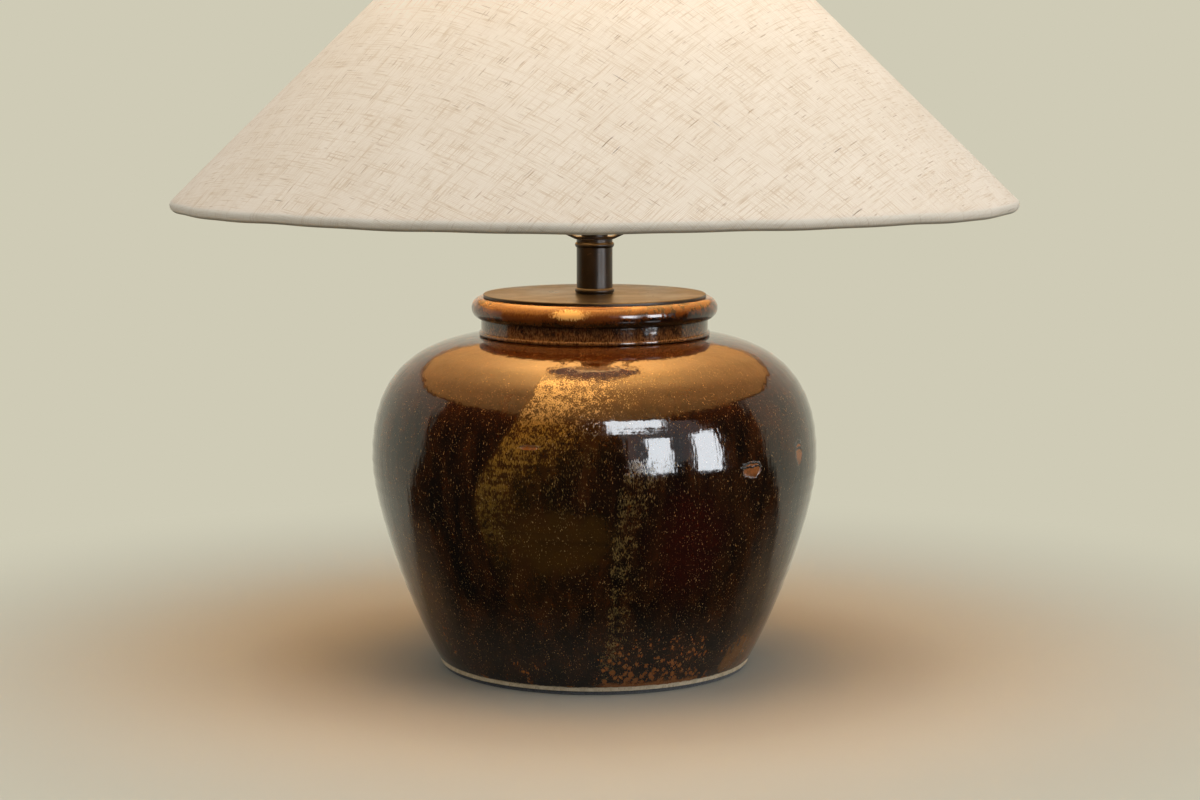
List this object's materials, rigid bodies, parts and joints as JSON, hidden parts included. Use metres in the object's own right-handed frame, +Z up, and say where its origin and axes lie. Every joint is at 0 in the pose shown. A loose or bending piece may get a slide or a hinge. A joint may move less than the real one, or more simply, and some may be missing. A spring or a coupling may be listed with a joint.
{
  "type": "table lamp",
  "caption": "Table lamp with a dark glazed stoneware jar, metal cap and neck, turn-switch socket and harp, and a wide cone shade in pale slubby linen.",
  "frame": {"origin": "on the table under the middle of the jar", "axes": "+Z up along the lamp's axis, -Y to the front, where the switch knob points; the harp lies in the XZ plane"},
  "size_m": [0.508, 0.5079, 0.4681],
  "materials": {
    "glazed_stoneware": "gloss, streaked and speckled",
    "felt": "felted",
    "black_rubber": "matt",
    "zinc_steel": "satin zinc",
    "plug_wood": "sawn",
    "dark_bronze": "satin",
    "liner_card": "plain",
    "black_plastic": "moulded",
    "brass": "bright",
    "bulb_nickel": "bright",
    "white_plastic": "moulded",
    "opal_plastic": "opal",
    "shade_wire": "powder coated",
    "shade_film": "light-passing film",
    "linen": "slubby weave"
  },
  "bodies": {
    "base": {"jar_body": "glazed_stoneware", "foot_felt": "felt", "cord_bushing": "black_rubber", "base_gasket": "black_rubber", "base_washer": "zinc_steel", "base_lock_washer": "zinc_steel", "base_nut": "zinc_steel", "lamp_pipe": "zinc_steel", "cap_plug": "plug_wood", "cap_gasket": "black_rubber", "vase_cap": "dark_bronze", "neck_tube": "dark_bronze", "harp_saddle": "dark_bronze", "socket_cap": "dark_bronze", "socket_set_screw": "zinc_steel", "socket_shell": "dark_bronze", "socket_liner": "liner_card", "socket_core": "black_plastic", "terminal_screws": "brass", "screw_shell": "brass", "centre_contact": "brass", "harp_loop": "dark_bronze", "harp_stud": "brass"},
    "switch": {"key_stem": "zinc_steel", "key_knob": "black_plastic"},
    "left_sleeve": {"harp_sleeve_left": "dark_bronze"},
    "right_sleeve": {"harp_sleeve_right": "dark_bronze"},
    "bulb": {"bulb_contact": "zinc_steel", "bulb_insulator": "black_plastic", "bulb_screw_base": "bulb_nickel", "bulb_housing": "white_plastic", "led_board": "white_plastic", "bulb_globe": "opal_plastic"},
    "shade": {"shade_spider": "shade_wire", "shade_bottom_ring": "shade_wire", "shade_liner": "shade_film", "shade_cover": "linen"},
    "finial": {"finial": "dark_bronze"}
  },
  "joints": [
    {"name": "switch_turn", "type": "hinge", "parent": "base", "child": "switch", "pos_m": [0, -0.026, 0.292], "axis": [0, -1, 0], "continuous": true},
    {"name": "left_sleeve_lift", "type": "slide", "parent": "base", "child": "left_sleeve", "axis": [0, 0, 1], "range_m": [0, 0.014]},
    {"name": "right_sleeve_lift", "type": "slide", "parent": "base", "child": "right_sleeve", "axis": [0, 0, 1], "range_m": [0, 0.014]},
    {"name": "bulb_turn", "type": "hinge", "parent": "base", "child": "bulb", "pos_m": [0, 0, 0.32], "axis": [0, 0, 1], "continuous": true},
    {"name": "shade_turn", "type": "hinge", "parent": "base", "child": "shade", "pos_m": [0, 0, 0.4429], "axis": [0, 0, 1], "continuous": true},
    {"name": "finial_turn", "type": "hinge", "parent": "base", "child": "finial", "pos_m": [0, 0, 0.45], "axis": [0, 0, 1], "continuous": true}
  ]
}
